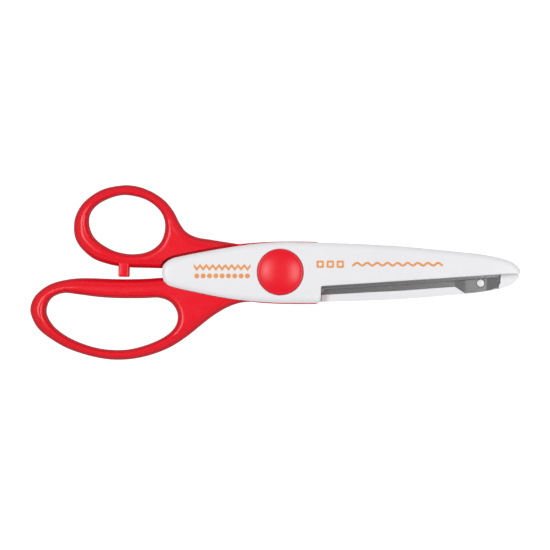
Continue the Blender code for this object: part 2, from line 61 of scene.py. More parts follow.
FACE_GAP = 0.15  # from the meeting plane to the steel and to the plate
FIT = 0.15  # room round a part that sits in another
BLADE_THICKNESS = 1.2
TOOTH_HEIGHT = 0.55  # from the middle of the wave
TOOTH_PITCH = 3.38
TOOTH_SAMPLES = 18  # rows of points in each tooth
BAND_WIDTH = 2.0  # of the toothed band along the cutting edge
BAND_EDGE = 0.5  # over which the band runs out into the recess
RECESS = 0.7  # depth of the steel behind the band
FLAT_RADIUS = 15.3  # from the pivot to where the flat tang ends
RECESS_RADIUS = 15.9  # to where the recess has its full depth
TEETH_RADIUS = 17.3  # and to where the teeth have their full height
BLADE_END_RADIUS = 73.3
CUT_START_X, CUT_START_Y, CUT_SLOPE = 14.0, -5.0, 0.0655
LIP = 0.85  # how far the steel reaches past the line of the cut
COVER_SET_BACK = 0.25  # of the cover's edge behind that line
GROUND_WIDTH = 0.3  # of the ground bevel on the cutting edge
GROUND_DEPTH = 0.35
EDGE_THICKNESS = 0.25  # of the steel at the cutting edge

PLATE_TOP = 2.9
PLATE_START_X = -38.5
PLATE_END_X = 13.3
PLATE_SET_BACK = 0.1  # of the plate's outline behind the cover's
STEP_X = 13.6  # where the cover steps up from its heel to the cutting line
STEP_Y = -10.4
COVER_FLOOR = 3.0  # of the hollow over the plate, which ends at COVER_SPAN_X
COVER_SPAN_X = 14.0
RIM_BOTTOM = 0.25
RIM_END_X = 58.8
TAB_START_X = 62.3
TAB_RISE = 0.15  # how far the tab stands out of the recess
TAB_END_RISE = 0.4  # and at the end of the blade
# (x, distance behind the spine of the cover) along the back of the steel
BLADE_BACK = [
    (15, 2.45), (30, 2.95), (45, 3.0), (RIM_END_X, 2.85), (TAB_START_X, 0.25), (71, 0.25), (72.4, 0.45),
    (BLADE_END_RADIUS, 1.1),
]
BLADE_POCKET_TOP = 2.15
TIP_POCKET_END = 74.1
CLOSING_GAP = 0.9  # room round the other half's cover, for closing
STOP_TAB_HALF_THICKNESS = 3.0
BORE_RADIUS = 3.3
COUNTERBORE_RADIUS = 4.9
COUNTERBORE_FLOOR = 2.1
COVER_BORE_RADIUS = 5.5
CAP_SEAT = 3.8
CAP_UNDERSIDE = CAP_SEAT + 0.1
TAB_HOLE_X, TAB_HOLE_Y, TAB_HOLE_RADIUS = 67.5, 2.8, 1.45
RIVET_PLACES = ((-9.8, 0.0), (9.8, 0.8))
# (radius, height) down the hole of a rivet: room for its head, its shank and its countersunk end
RIVET_HOLE = [(0, 3.3), (2.35, 3.3), (2.35, 2.95), (1.45, 2.15), (1.45, 1.1), (2.65, -0.1), (0, -0.1)]
# Heights at which the cutting tools end, clear of the whole half or just under the meeting plane
TOOL_CLEAR = 9.0
TOOL_UNDER = -1.0

# Rounding of the mouldings
PLATE_ROUND = 0.4
LOOP_OUTER_ROUND = 3.4
LOOP_HOLE_ROUND = 1.9
COVER_ROUND = 1.7
COVER_ROUND_DEPTH = 0.85
COVER_CUT_ROUND = 0.45
COVER_CROWN = 0.25
COVER_CROWN_WIDTH = 5.5
FINE_GAP = 0.03  # least distance between the points of a mesh along a small rounding
CREASE = 32  # degrees above which an edge is shaded sharp

FRONT = Matrix.Scale(MM, 4) @ Matrix.Translation((0, 0, MEETING_PLANE))
TURNED_OVER = Matrix.Rotation(-REST_ANGLE, 4, "Z") @ Matrix.Rotation(math.pi, 4, "X")
REAR = FRONT @ TURNED_OVER


# Outlines


def smooth(points, closed=False):
    """A Catmull-Rom curve through the points, as an array."""
    per_span = 8
    p = np.array(points, float)
    if closed:
        p = np.vstack([p[-1:], p, p[:2]])
    else:
        p = np.vstack([2 * p[0] - p[1], p, 2 * p[-1] - p[-2]])
    found = []
    for a, b, c, d in zip(p, p[1:], p[2:], p[3:]):
        for t in np.arange(per_span) / per_span:
            cubic = 3 * b - a - 3 * c + d
            found.append(0.5 * (2 * b + (c - a) * t + (2 * a - 5 * b + 4 * c - d) * t**2 + cubic * t**3))
    return np.array(found if closed else found + [p[-2]])


def even(points, spacing):
    """The closed outline with its points at an even spacing."""
    p = np.array(points, float)
    p = np.vstack([p, p[:1]])
    along = np.concatenate([[0], np.cumsum(np.linalg.norm(np.diff(p, axis=0), axis=1))])
    count = max(int(round(along[-1] / spacing)), 3)
    marks = np.linspace(0, along[-1], count + 1)[:-1]
    return np.stack([np.interp(marks, along, p[:, k]) for k in (0, 1)], 1)


def fillet(before, corner, after, radius, steps=8):
    """The arc that rounds a corner between two straight edges."""
    corner = np.array(corner, float)
    a = np.array(before, float) - corner
    b = np.array(after, float) - corner
    a /= np.linalg.norm(a)
    b /= np.linalg.norm(b)
    half = math.acos(np.clip(a @ b, -1, 1)) / 2
    centre = corner + (a + b) / np.linalg.norm(a + b) * radius / math.sin(half)
    start = corner + a * radius / math.tan(half) - centre
    end = corner + b * radius / math.tan(half) - centre
    turn = math.atan2(start[0] * end[1] - start[1] * end[0], start @ end)
    angles = turn * np.arange(steps + 1) / steps
    x = start[0] * np.cos(angles) - start[1] * np.sin(angles)
    y = start[0] * np.sin(angles) + start[1] * np.cos(angles)
    return centre + np.stack([x, y], 1)


def anticlockwise(points):
    """The closed outline, listed anticlockwise."""
    p = np.array(points, float)
    q = np.roll(p, -1, 0)
    area = (p[:, 0] * q[:, 1] - q[:, 0] * p[:, 1]).sum()
    return p if area > 0 else p[::-1]


def grow(points, distance):
    """The closed outline moved outwards by a distance."""
    ring = anticlockwise(points)
    ahead = np.roll(ring, -1, 0) - np.roll(ring, 1, 0)
    length = np.maximum(np.linalg.norm(ahead, axis=1, keepdims=True), 1e-9)
    return ring + np.stack([ahead[:, 1], -ahead[:, 0]], 1) / length * distance


def other_half(points):
    """An outline of the other half, as it lies in this half's frame at rest."""
    p = np.array(points, float)
    c, s = math.cos(REST_ANGLE), math.sin(REST_ANGLE)
    return np.stack([p[:, 0] * c - p[:, 1] * s, -p[:, 1] * c - p[:, 0] * s], 1)


def circle(x, y, radius, steps=48):
    turns = 2 * math.pi * np.arange(steps) / steps
    return np.stack([x + radius * np.cos(turns), y + radius * np.sin(turns)], 1)


def box_outline(x0, y0, x1, y1):
    return np.array([(x0, y0), (x1, y0), (x1, y1), (x0, y1)], float)


def cut_line(x, below=0.0):
    """The y of the line along which the blades meet when the scissors are closed."""
    return CUT_START_Y + CUT_SLOPE * (x - CUT_START_X) - below


SPINE = smooth(
    [
        (80.05, 1.0), (79.0, 2.2), (77.15, 3.5), (73.0, 4.8), (67.0, 5.95), (59.0, 6.8), (50.0, 7.7),
        (40.0, 8.6), (30.0, 9.2), (20.0, 9.6), (10.0, 9.9), (0.0, 10.0), (-8.0, 9.45), (-16.0, 8.4),
        (-24.0, 7.05), (-32.0, 5.5), (-36.5, 4.35), (-38.8, 2.6), (-39.5, 0.7), (-39.5, -1.3),
    ]
)
HEEL = smooth(
    [
        (-39.0, -2.9), (-37.2, -4.5), (-33.5, -5.6), (-27.5, -6.9), (-20.0, -8.4), (-12.0, -9.5),
        (-3.0, -10.2), (5.0, -10.4), (12.0, -10.4),
    ]
)
CUT_END = (75.5, cut_line(75.5, -COVER_SET_BACK))
STEP_TOP = (STEP_X, cut_line(STEP_X, -COVER_SET_BACK))
STEP_FOOT = (STEP_X, STEP_Y)
TIP = smooth([CUT_END, (79.3, -0.68), (80.15, -0.4), (80.3, 0.3)])
STEP_OUTER = fillet(HEEL[-1], STEP_FOOT, STEP_TOP, 1.5)
STEP_INNER = fillet(STEP_FOOT, STEP_TOP, CUT_END, 0.4, 4)
COVER = np.vstack([HEEL[:-1], STEP_OUTER, STEP_INNER, TIP, SPINE])
COVER_OUTER_EDGE = np.vstack([TIP[-3:], SPINE, HEEL[:-1], STEP_OUTER])
COVER_CUT_EDGE = np.vstack([STEP_OUTER[-1:], STEP_INNER, TIP])


def spine_y(x):
    """The y of the spine of the cover."""
    rising = SPINE[SPINE[:, 1] > 0.95][::-1]
    return float(np.interp(x, rising[:, 0], rising[:, 1]))


def blade_spine_y(x):
    """Upper edge of the steel: behind the rim of the cover, then out to the cover's edge at the tab."""
    return spine_y(x) - float(np.interp(x, *zip(*BLADE_BACK)))


def on_cutting_edge(r):
    """The point of the cutting edge at a distance from the pivot."""
    c = cut_line(0.0, LIP)
    m = CUT_SLOPE
    x = (-m * c + math.sqrt(r * r * (1 + m * m) - c * c)) / (1 + m * m)
    return (x, m * x + c)


def on_blade_spine(r):
    """The point of the steel's upper edge at a distance from the pivot."""
    x = r
    for _ in range(12):
        x = math.sqrt(r * r - blade_spine_y(x) ** 2)
    return (x, blade_spine_y(x))


def tang_ends():
    """Straight rows across the flat tang from its round heel, as their ends on the cut and spine sides."""
    heel_x, heel_radius = -7.4, 6.2
    rows = []
    for degrees in (84, 76, 66, 56, 46, 36, 26, 16, 4):
        turn = math.radians(degrees)
        x = heel_x - heel_radius * math.sin(turn)
        half = heel_radius * math.cos(turn)
        rows.append(((x, -half), (x, half)))
    return rows + [((3.0, -6.2), (3.0, 6.6)), ((10.0, -6.0), (10.0, 7.0))]


def arc_ends(step=1):
    """Rows across the blade along arcs round the pivot, from the tang to the tip, as their ends."""
    first = FLAT_RADIUS - 1.0
    count = round((BLADE_END_RADIUS - first) / (TOOTH_PITCH / TOOTH_SAMPLES))
    radii = [first + (BLADE_END_RADIUS - first) * k / count for k in range(0, count + 1, step)]
    return [(on_cutting_edge(r), on_blade_spine(r)) for r in radii]


# Solids


def distance(points, path):
    """Distance of each point from a line of straight pieces."""
    p = np.array(points, float)
    best = np.full(len(p), 1e9)
    for a, b in zip(path[:-1], path[1:]):
        ab = b - a
        t = np.clip(((p - a) @ ab) / max(ab @ ab, 1e-12), 0, 1)
        best = np.minimum(best, np.hypot(*(p - a - t[:, None] * ab).T))
    return best


def inside(points, ring):
    """Whether each point lies inside the closed outline."""
    p = np.array(points, float)
    hit = np.zeros(len(p), bool)
    for a, b in zip(ring, np.roll(ring, -1, 0)):
        spans = (a[1] > p[:, 1]) != (b[1] > p[:, 1])
        slope = (b[0] - a[0]) / (b[1] - a[1]) if a[1] != b[1] else 0.0
        hit ^= spans & (p[:, 0] < a[0] + (p[:, 1] - a[1]) * slope)
    return hit


def quarter_round(depth, radius):
    """0 at an edge, rising as a quarter circle to 1 where the rounding ends."""
    return np.sqrt(1 - (1 - np.clip(depth / radius, 0, 1)) ** 2)


# Depths of the rows of points across a rounding, as shares of its radius
EDGE_INSETS = 1 - np.cos(np.radians((22, 45, 67, 90)))


def rounding_depths(radii, degrees):
    """Depths at which rows of points follow an edge, at these angles round each of the roundings."""
    turns = np.radians(degrees)
    return sorted({round(float(depth), 2) for depth in np.outer(radii, 1 - np.cos(turns)).ravel()})


def edge_drop(points, ring, radius):
    """How far a face with rounded edges lies below its middle."""
    return radius * (1 - quarter_round(distance(points, np.vstack([ring, ring[:1]])), radius))


def ease(value, start, end):
    """0 before the start and 1 after the end, with a smooth rise between them."""
    t = np.clip((value - start) / (end - start), 0, 1)
    return t * t * (3 - 2 * t)


def thinned(points, gap):
    """The points, each left out if an earlier one is nearer than about the gap."""
    taken = {}
    kept = []
    for x, y in points:
        cell = (int(x // gap), int(y // gap))
        near = [q for i in (-1, 0, 1) for j in (-1, 0, 1) for q in taken.get((cell[0] + i, cell[1] + j), ())]
        if all((x - u) ** 2 + (y - v) ** 2 > gap * gap for u, v in near):
            taken.setdefault(cell, []).append((x, y))
            kept.append((x, y))
    return kept


def slab(outline, top, bottom, holes=(), insets=(), spacing=None, gap=0.22):
    """A closed solid over a flat outline, between two heights or height functions.

    insets are depths from the edges at which rows of extra points follow them, spacing is that of the
    points in between, and gap is the least distance that any extra point keeps from another."""
    loops = [anticlockwise(outline), *(anticlockwise(hole) for hole in holes)]
    closed = [np.vstack([loop, loop[:1]]) for loop in loops]
    edges = []
    start = 0
    for loop in loops:
        edges += [(start + k, start + (k + 1) % len(loop)) for k in range(len(loop))]
        start += len(loop)
    extra = [grow(loop, -d if k == 0 else d) for d in insets for k, loop in enumerate(loops)]
    depths = [np.full(len(loop), d) for d in insets for loop in loops]
    if spacing:
        low, high = loops[0].min(0), loops[0].max(0)
        xs = np.arange(low[0], high[0], spacing)
        ys = np.arange(low[1], high[1], spacing * 0.866)
        grid = np.array([(x + (k % 2) * spacing / 2, y) for k, y in enumerate(ys) for x in xs])
        extra.append(grid)
        depths.append(np.full(len(grid), max(insets, default=0.0) + spacing * 0.4))
    border = np.vstack(loops)
    found = np.zeros((0, 2))
    if extra:
        candidates = np.vstack(extra)
        depth = np.concatenate(depths)
        clear = inside(candidates, loops[0])
        for k, ring in enumerate(closed):
            clear &= distance(candidates, ring) > depth * 0.97
            if k:
                clear &= ~inside(candidates, loops[k])
        found = np.array(thinned(candidates[clear], gap)).reshape(-1, 2)
    flat = np.vstack([border, found])
    made = delaunay_2d_cdt([Vector(p) for p in flat], edges, [], 1, 1e-7)
    points = np.array([tuple(v) for v in made[0]])
    faces = np.array([f for f in made[2] if len(f) == 3])
    middle = points[faces].mean(1)
    keep = inside(middle, loops[0])
    for loop in loops[1:]:
        keep &= ~inside(middle, loop)
    return extruded(points, faces[keep], top, bottom)


def heights(value, points):
    """The height at each point, from one height or from a height function."""
    return value(points) if callable(value) else np.full(len(points), float(value))


def extruded(points, faces, top, bottom):
    """The solid between two heights over a flat triangle mesh."""
    corners = points[faces]
    a, b, c = corners[:, 0], corners[:, 1], corners[:, 2]
    turn = (b[:, 0] - a[:, 0]) * (c[:, 1] - a[:, 1]) - (b[:, 1] - a[:, 1]) * (c[:, 0] - a[:, 0])
    faces = np.where(turn[:, None] > 0, faces, faces[:, ::-1])
    count = len(points)
    sides = {}
    for f in faces.tolist():
        for u, v in zip(f, f[1:] + f[:1]):
            if (v, u) in sides:
                del sides[(v, u)]
            else:
                sides[(u, v)] = True
    walls = [(v, u, u + count, v + count) for u, v in sides]
    high = np.column_stack([points, heights(top, points)])
    low = np.column_stack([points, heights(bottom, points)])
    mesh = bpy.data.meshes.new("slab")
    under = (faces[:, ::-1] + count).tolist()
    mesh.from_pydata(np.vstack([high, low]).tolist(), [], faces.tolist() + under + walls)
    work = bmesh.new()
    work.from_mesh(mesh)
    loose = [v for v in work.verts if not v.link_faces]
    bmesh.ops.delete(work, geom=loose, context="VERTS")
    bmesh.ops.remove_doubles(work, verts=work.verts, dist=2e-4)
    bmesh.ops.recalc_face_normals(work, faces=work.faces)
    work.to_mesh(mesh)
    work.free()
    return mesh


def turned(profile, steps=64, place=(0.0, 0.0)):
    """A turned solid about a vertical axis.

    profile lists its (radius, height) points from the top of the axis round to the bottom of it."""
    turns = 2 * math.pi * np.arange(steps) / steps
    x, y = place
    verts = [(x, y, profile[0][1])]
    for r, z in profile[1:-1]:
        verts += [(x + r * math.cos(turn), y + r * math.sin(turn), z) for turn in turns]
    verts.append((x, y, profile[-1][1]))
    last = len(verts) - 1
    ring_starts = range(1, last, steps)
    faces = []
    for k in range(steps):
        ahead = (k + 1) % steps
        faces.append((0, 1 + k, 1 + ahead))
        faces += [(a + k, b + k, b + ahead, a + ahead) for a, b in zip(ring_starts, ring_starts[1:])]
        faces.append((last, ring_starts[-1] + ahead, ring_starts[-1] + k))
    mesh = bpy.data.meshes.new("turned")
    mesh.from_pydata(verts, [], faces)
    return mesh


def combined(base, *steps):
    """The base mesh after Boolean steps, each an operation and a mesh."""
    body = bpy.data.objects.new("base", base)
    bpy.context.scene.collection.objects.link(body)
    tools = []
    for operation, mesh in steps:
        tool = bpy.data.objects.new("tool", mesh)
        bpy.context.scene.collection.objects.link(tool)
        tools.append(tool)
        modifier = body.modifiers.new("step", "BOOLEAN")
        modifier.operation = operation
        modifier.object = tool
    graph = bpy.context.evaluated_depsgraph_get()
    made = bpy.data.meshes.new_from_object(body.evaluated_get(graph))
    for obj in [body, *tools]:
        mesh = obj.data
        bpy.data.objects.remove(obj)
        bpy.data.meshes.remove(mesh)
    work = bmesh.new()
    work.from_mesh(made)
    bmesh.ops.remove_doubles(work, verts=work.verts, dist=1e-3)
    bmesh.ops.dissolve_degenerate(work, edges=work.edges, dist=1e-4)
    work.to_mesh(made)
    work.free()
    return made


def piece(name, mesh, half, body, finish, node=None, crease=CREASE):
    """A finished piece in the scene, from a mesh drawn in the frame of its half."""
    mesh.transform(half)
    mesh.materials.clear()
    mesh.materials.append(finish)
    mesh.shade_smooth()
    mesh.set_sharp_from_angle(angle=math.radians(crease))
    obj = bpy.data.objects.new(name, mesh)
    bpy.context.scene.collection.objects.link(obj)
    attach(obj, body)
    if node:
        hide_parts(node)


# Materials


class Finish:
    """A Principled material and short calls for the nodes that drive it.

    Lengths are in metres, and a scale of noise is roughly its number of grains in a metre."""

    def __init__(self, name, colour, roughness, metallic=0.0):
        self.material = bpy.data.materials.new(name)
        self.material.use_nodes = True
        self.nodes = self.material.node_tree.nodes
        self.links = self.material.node_tree.links
        self.shader = self.nodes["Principled BSDF"]
        self.shader.inputs["Base Color"].default_value = (*colour, 1)
        self.shader.inputs["Roughness"].default_value = roughness
        self.shader.inputs["Metallic"].default_value = metallic

    def place(self, stretch=(1, 1, 1)):
        """The place on the object, scaled along the axes."""
        mapping = self.nodes.new("ShaderNodeMapping")
        mapping.inputs["Scale"].default_value = stretch
        where = self.nodes.new("ShaderNodeTexCoord")
        self.links.new(where.outputs["Object"], mapping.inputs["Vector"])
        return mapping.outputs["Vector"]

    def noise(self, scale, detail=3.0, stretch=(1, 1, 1)):
        noise = self.nodes.new("ShaderNodeTexNoise")
        noise.inputs["Scale"].default_value = scale
        noise.inputs["Detail"].default_value = detail
        self.links.new(self.place(stretch), noise.inputs["Vector"])
        return noise.outputs["Fac"]

    def ranged(self, value, low, high, start=0.3, end=0.7):
        """The value spread from low, at start, to high, at end."""
        spread = self.nodes.new("ShaderNodeMapRange")
        spread.inputs["From Min"].default_value = start
        spread.inputs["From Max"].default_value = end
        spread.inputs["To Min"].default_value = low
        spread.inputs["To Max"].default_value = high
        self.links.new(value, spread.inputs["Value"])
        return spread.outputs["Result"]

    def calculate(self, operation, *values):
        node = self.nodes.new("ShaderNodeMath")
        node.operation = operation
        for socket, value in zip(node.inputs, values):
            if isinstance(value, bpy.types.NodeSocket):
                self.links.new(value, socket)
            else:
                socket.default_value = value
        return node.outputs["Value"]

    def edges(self, radius):
        """0 on plain surfaces and 1 along sharp edges, broken up as rubbed edges are."""
        rounded = self.nodes.new("ShaderNodeBevel")
        rounded.samples = 4
        rounded.inputs["Radius"].default_value = radius
        surface = self.nodes.new("ShaderNodeNewGeometry")
        compare = self.nodes.new("ShaderNodeVectorMath")
        compare.operation = "DOT_PRODUCT"
        self.links.new(rounded.outputs["Normal"], compare.inputs[0])
        self.links.new(surface.outputs["Normal"], compare.inputs[1])
        edge = self.ranged(compare.outputs["Value"], 0, 1, 0.99, 0.86)
        return self.calculate("MULTIPLY", edge, self.ranged(self.noise(700, 3), 0.3, 1))

    def seam(self, height, half_width):
        """1 along the line where the two halves of the mould met, and 0 elsewhere."""
        split = self.nodes.new("ShaderNodeSeparateXYZ")
        self.links.new(self.place(), split.inputs["Vector"])
        away = self.calculate("ABSOLUTE", self.calculate("SUBTRACT", split.outputs["Z"], height))
        return self.ranged(away, 1, 0, 0, half_width)

    def tint(self, value, first, second):
        """A base colour that varies with the value between two colours."""
        mix = self.nodes.new("ShaderNodeMix")
        mix.data_type = "RGBA"
        mix.inputs["A"].default_value = (*first, 1)
        mix.inputs["B"].default_value = (*second, 1)
        self.links.new(value, mix.inputs["Factor"])
        self.links.new(mix.outputs["Result"], self.shader.inputs["Base Color"])

    def overlay(self, value, colour):
        """Another colour over the base colour, where the value is 1."""
        base = self.shader.inputs["Base Color"]
        mix = self.nodes.new("ShaderNodeMix")
        mix.data_type = "RGBA"
        mix.inputs["B"].default_value = (*colour, 1)
        self.links.new(base.links[0].from_socket, mix.inputs["A"])
        self.links.new(value, mix.inputs["Factor"])
        self.links.new(mix.outputs["Result"], base)

    def rough(self, value, low, high):
        """A roughness that varies with the value."""
        self.links.new(self.ranged(value, low, high), self.shader.inputs["Roughness"])

    def rougher(self, value, change):
        """Adds to the roughness where the value is 1."""
        rough = self.shader.inputs["Roughness"]
        added = self.calculate("MULTIPLY_ADD", value, change, rough.links[0].from_socket)
        self.links.new(added, rough)

    def bump(self, value, depth, strength):
        bump = self.nodes.new("ShaderNodeBump")
        bump.inputs["Strength"].default_value = strength
        bump.inputs["Distance"].default_value = depth
        self.links.new(value, bump.inputs["Height"])
        self.links.new(bump.outputs["Normal"], self.shader.inputs["Normal"])


def scuffs(finish):
    """Sparse fine lines, as left by use."""
    lines = finish.ranged(finish.noise(260, 2, (1, 9, 1)), 0, 1, 0.62, 0.7)
    patches = finish.ranged(finish.noise(45, 2), 0, 1, 0.45, 0.6)
    return finish.calculate("MULTIPLY", lines, patches)


def red_plastic(name, rough_low, rough_high):
    red, deeper_red, rubbed_red = (0.84, 0.004, 0.018), (0.80, 0.004, 0.016), (0.90, 0.06, 0.07)
    finish = Finish(name, red, rough_low)
    finish.tint(finish.ranged(finish.noise(60), 0, 1), red, deeper_red)
    finish.rough(finish.noise(300, 4), rough_low, rough_high)
    rubbed = finish.edges(0.0004)
    finish.overlay(finish.calculate("MULTIPLY", rubbed, 0.35), rubbed_red)
    finish.rougher(rubbed, 0.12)
    finish.rougher(scuffs(finish), 0.1)
    seam = finish.seam(MEETING_PLANE * MM, 0.00008)
    finish.bump(finish.calculate("MULTIPLY_ADD", seam, 6.0, finish.noise(700, 2)), 0.000008, 0.3)
    finish.shader.inputs["Specular IOR Level"].default_value = 0.4
    return finish.material


def white_plastic():
    white, duller_white, rubbed_grey = (0.81, 0.81, 0.83), (0.79, 0.79, 0.815), (0.66, 0.655, 0.645)
    finish = Finish("satin white plastic", white, 0.36)
    finish.tint(finish.ranged(finish.noise(50), 0, 1), white, duller_white)
    finish.rough(finish.noise(400, 4), 0.32, 0.42)
    rubbed = finish.edges(0.0004)
    finish.overlay(finish.calculate("MULTIPLY", rubbed, 0.4), rubbed_grey)
    finish.rougher(rubbed, 0.1)
    finish.rougher(scuffs(finish), 0.08)
    finish.bump(finish.noise(1800, 2), 0.000008, 0.35)
    return finish.material


def brushed_steel(name, light, dark, rough_low, rough_high, stretch):
    polished_edge = (0.75, 0.75, 0.75)
    finish = Finish(name, light, rough_low, metallic=1.0)
    grain = finish.noise(900, 4, stretch)
    finish.tint(finish.ranged(grain, 0, 1), light, dark)
    finish.rough(grain, rough_low, rough_high)
    polished = finish.edges(0.00015)
    finish.overlay(finish.calculate("MULTIPLY", polished, 0.6), polished_edge)
    finish.rougher(scuffs(finish), 0.02)
    finish.bump(grain, 0.00001, 0.4)
    return finish.material


def nylon():
    cream, darker_cream = (0.80, 0.78, 0.70), (0.74, 0.72, 0.64)
    finish = Finish("natural nylon", cream, 0.45)
    finish.tint(finish.ranged(finish.noise(200), 0, 1), cream, darker_cream)
    finish.rough(finish.noise(500, 3), 0.4, 0.55)
    finish.bump(finish.noise(900, 2), 0.00002, 0.4)
    return finish.material


def orange_print():
    orange, deeper_orange = (0.82, 0.33, 0.085), (0.74, 0.27, 0.06)
    finish = Finish("orange pad print", orange, 0.5)
    finish.tint(finish.ranged(finish.noise(900, 3), 0, 1), orange, deeper_orange)
    finish.rough(finish.noise(1200, 3), 0.42, 0.58)
    finish.bump(finish.noise(2500, 2), 0.00001, 0.3)
    return finish.material


# Scales of the steel's grain along each axis
ALONG_THE_BLADE = (0.25, 14, 1)
EVEN_GRAIN = (1, 1, 1)

RED = red_plastic("glossy red plastic", 0.25, 0.3)
CAP_RED = red_plastic("satin red plastic", 0.31, 0.37)
WHITE = white_plastic()
STEEL = brushed_steel(
    "brushed blade steel", (0.54, 0.53, 0.53), (0.47, 0.46, 0.46), 0.22, 0.26, ALONG_THE_BLADE
)
BRIGHT = brushed_steel("turned steel", (0.66, 0.66, 0.66), (0.56, 0.56, 0.56), 0.2, 0.32, EVEN_GRAIN)
NYLON = nylon()
PRINT = orange_print()


# Handles: the outer line of each loop and arm, its hole, and the end of its arm under the cover

FINGER_RIM = [
    (-32.0, -1.9), (-36.0, -1.9), (-39.8, -1.9), (-44.0, -2.2), (-50.0, -2.4), (-56.0, -2.35),
    (-62.0, -2.1), (-68.0, -2.1), (-73.0, -2.8), (-77.0, -4.0), (-80.4, -6.1), (-82.9, -8.9),
    (-83.95, -12.6), (-83.0, -16.2), (-81.0, -19.3), (-77.3, -22.3), (-72.0, -25.4), (-65.7, -27.7),
    (-59.5, -29.1), (-54.5, -29.5), (-49.0, -29.1), (-43.0, -27.7), (-37.0, -25.3), (-31.5, -21.8),
    (-27.0, -18.2), (-22.5, -14.7), (-18.0, -12.0), (-14.0, -10.5), (-10.0, -10.0), (-5.0, -10.2),
]
FINGER_HOLE = [
    (-73.0, -7.1), (-68.0, -7.5), (-61.0, -8.4), (-54.0, -8.8), (-46.0, -8.8), (-40.5, -8.7),
    (-36.6, -10.4), (-34.5, -14.0), (-35.1, -18.0), (-38.2, -21.3), (-43.6, -24.0), (-49.6, -25.75),
    (-54.5, -26.2), (-60.5, -25.7), (-66.5, -24.0), (-72.0, -21.4), (-76.3, -17.9), (-78.5, -13.5),
    (-77.1, -9.1),
]
FINGER_INNER = [(-5.0, -8.0), (-14.0, -5.5), (-24.0, -2.5), (-30.0, -0.5)]
THUMB_RIM = [
    (-32.0, -0.7), (-36.0, -0.7), (-39.8, -0.7), (-44.5, -0.75), (-49.5, -0.8), (-53.5, -1.1),
    (-57.6, -1.8), (-62.6, -3.5), (-66.5, -6.6), (-68.8, -10.0), (-69.5, -14.0), (-68.8, -18.3),
    (-66.0, -22.8), (-60.3, -26.8), (-53.4, -28.4), (-48.4, -28.1), (-44.0, -26.6), (-40.3, -24.4),
    (-37.8, -22.1), (-35.7, -19.2), (-34.0, -15.9), (-31.7, -13.0), (-28.2, -11.3), (-23.7, -10.6),
    (-18.3, -9.8), (-13.5, -9.2), (-9.0, -9.4), (-5.0, -9.6),
]
THUMB_HOLE = [
    (-52.4, -25.1), (-57.7, -23.9), (-62.0, -21.4), (-64.2, -18.1), (-64.2, -14.1), (-62.4, -10.5),
    (-58.9, -7.8), (-54.8, -6.0), (-49.7, -5.3), (-44.6, -6.2), (-40.8, -8.8), (-39.1, -12.5),
    (-39.1, -16.8), (-41.2, -20.6), (-45.8, -23.8),
]
THUMB_INNER = [(-5.0, -7.5), (-14.0, -5.0), (-24.0, -2.0), (-30.0, 0.3)]


def stop_tab():
    """The tab on the thumb loop that meets the finger loop when the scissors close."""
    left, right, foot, top = -54.2, -50.7, -3.5, 2.38
    rounding = 0.5
    far_corner = fillet((right, foot), (right, top), (left, top), rounding, 6)
    near_corner = fillet((right, top), (left, top), (left, foot), rounding, 6)
    outline = even(np.vstack([[(left, foot), (right, foot)], far_corner, near_corner]), 0.2)

    def upper(points):
        return STOP_TAB_HALF_THICKNESS - edge_drop(points, outline, rounding)

    return slab(outline, upper, lambda p: -upper(p), insets=EDGE_INSETS * rounding, gap=FINE_GAP)


def plate(drop):
    """The flat plate of a handle, between the blade and the cover.

    drop is how far its lower edge reaches past the cover's beside the pivot."""
    corner_round = 1.6
    upper = grow(COVER, -PLATE_SET_BACK)
    upper = upper[len(COVER) - len(SPINE):]
    upper = upper[upper[:, 0] < PLATE_END_X - 1]
    lower = HEEL[(HEEL[:, 0] > PLATE_START_X) & (HEEL[:, 0] < PLATE_END_X - 1.9)].copy()
    lower[:, 1] += PLATE_SET_BACK - (drop + PLATE_SET_BACK) * ease(lower[:, 0], -16, -6)
    foot = (PLATE_END_X, lower[-1][1])
    top = (PLATE_END_X, spine_y(PLATE_END_X) - PLATE_SET_BACK)
    ring = even(np.vstack([lower, fillet(lower[-1], foot, top, corner_round), [top], upper]), 0.8)

    def upper_face(points):
        return PLATE_TOP - edge_drop(points, ring, PLATE_ROUND)

    def lower_face(points):
        return FACE_GAP + edge_drop(points, ring, PLATE_ROUND)

    return slab(ring, upper_face, lower_face, insets=EDGE_INSETS * PLATE_ROUND, gap=FINE_GAP)


def bore_tool():
    """The pivot's bore through a half, with the wider counterbore for the screw's head or the nut."""
    bore = [(0, TOOL_CLEAR), (COUNTERBORE_RADIUS, TOOL_CLEAR), (COUNTERBORE_RADIUS, COUNTERBORE_FLOOR)]
    return turned(bore + [(BORE_RADIUS, COUNTERBORE_FLOOR), (BORE_RADIUS, -TOOL_CLEAR), (0, -TOOL_CLEAR)])


def rivet_tools():
    """The holes of both rivets that hold a tang to its plate."""
    return [turned(RIVET_HOLE, 32, place) for place in RIVET_PLACES]


def tang_outline():
    """The outline of the steel from its heel to past the end of the plate."""
    end_x = 30
    rows = [row for row in tang_ends() + arc_ends(step=24) if row[1][0] < end_x]
    return np.array([low for low, _ in rows] + [high for _, high in reversed(rows)])


